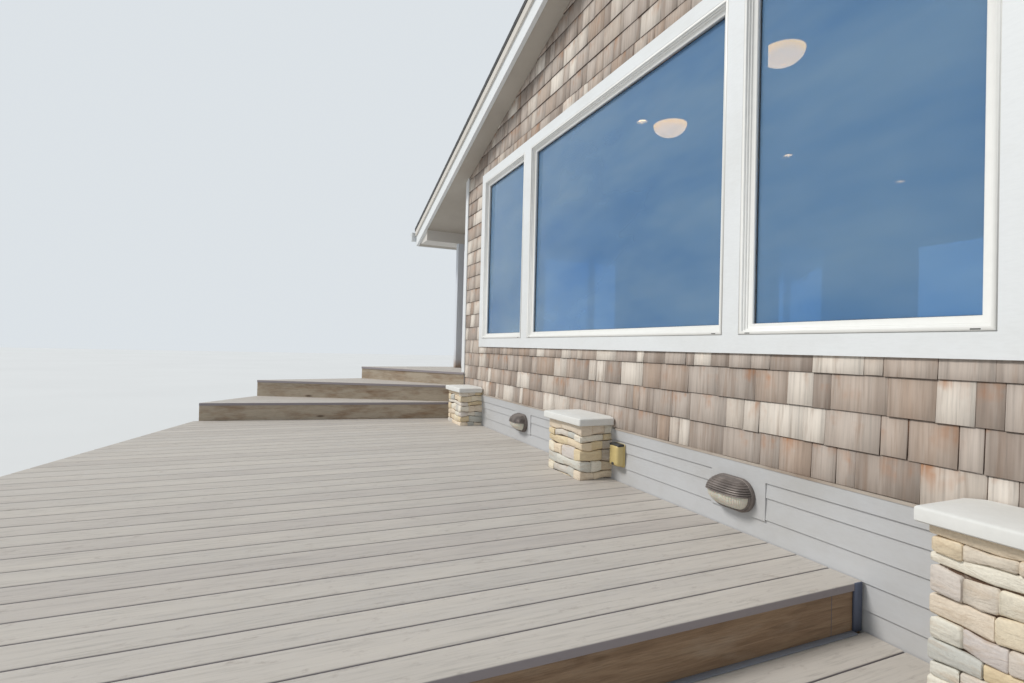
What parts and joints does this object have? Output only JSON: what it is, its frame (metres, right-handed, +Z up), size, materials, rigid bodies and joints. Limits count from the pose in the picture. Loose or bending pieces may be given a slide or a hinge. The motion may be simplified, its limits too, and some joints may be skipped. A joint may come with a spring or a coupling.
{
  "type": "beach house",
  "caption": "Shingled beach house with a wide window group in its front gable, side porches, winder steps and a two-level sun deck.",
  "frame": {"origin": "on the ground under the middle of the whole part, house and decks", "axes": "+X along the front wall to the right as seen from the decks, +Y into the house, +Z up; the front wall faces -Y"},
  "size_m": [9.524, 12.6934, 4.527],
  "materials": {
    "concrete": "cast concrete, bare",
    "floor_wood": "oiled boards",
    "wall_lining": "painted plasterboard over timber framing",
    "cedar_shingles": "weathered, unpainted cedar",
    "white_trim": "painted white, satin",
    "grey_siding": "painted light grey, satin",
    "drip_wood": "weathered wood strip",
    "window_vinyl": "white vinyl, low gloss",
    "window_glass": "clear insulating glass",
    "door_paint": "painted white, satin",
    "ceiling_board": "painted warm grey boards",
    "roof_felt": "dark granulated roof shingles",
    "soffit_paint": "painted warm grey",
    "gutter_metal": "painted sheet metal",
    "deck_board": "weathered grey composite boards",
    "riser_wood": "stained boards with knots",
    "ledge_stone": "split ledge stone, dry laid look",
    "cast_cap": "smooth pale cast stone",
    "light_bronze": "dark bronze grey, satin",
    "light_glass": "ribbed cream glass",
    "outlet_plastic": "yellowed clear plastic",
    "fan_metal": "brushed nickel",
    "bowl_glass": "frosted warm glass",
    "downlight_trim": "white rim with a warm lens"
  },
  "bodies": {
    "root": {"foundation": "concrete", "house_floor": "floor_wood", "front_wall": "wall_lining", "back_wall": "wall_lining", "left_wall": "wall_lining", "right_wall": "wall_lining", "front_shingles": "cedar_shingles", "back_shingles": "cedar_shingles", "side_shingles": "cedar_shingles", "corner_boards": "white_trim", "front_skirt": "grey_siding", "back_skirt": "grey_siding", "drip_strips": "drip_wood", "front_casing": "white_trim", "front_frames": "window_vinyl", "front_glass": "window_glass", "house_casings": "white_trim", "house_frames": "window_vinyl", "house_glass": "window_glass", "door_frame": "white_trim", "porch_door": "door_paint", "roof_left": "ceiling_board", "roof_right": "ceiling_board", "roof_covering": "roof_felt", "ridge_cap": "roof_felt", "rake_boards": "white_trim", "shadow_boards": "white_trim", "eave_beams": "soffit_paint", "eave_fascias": "white_trim", "gutters": "gutter_metal", "porch_posts": "white_trim", "porch_decks": "deck_board", "porch_frames": "grey_siding", "step_treads": "deck_board", "step_risers": "riser_wood", "upper_deck": "deck_board", "upper_deck_frame": "riser_wood", "lower_deck": "deck_board", "lower_deck_frame": "riser_wood", "stone_piers": "ledge_stone", "pier_caps": "cast_cap", "light_bodies": "light_bronze", "light_glasses": "light_glass", "outlet_cover": "outlet_plastic", "ceiling_fans": "fan_metal", "fan_bowls": "bowl_glass", "downlights": "downlight_trim"}
  },
  "joints": []
}
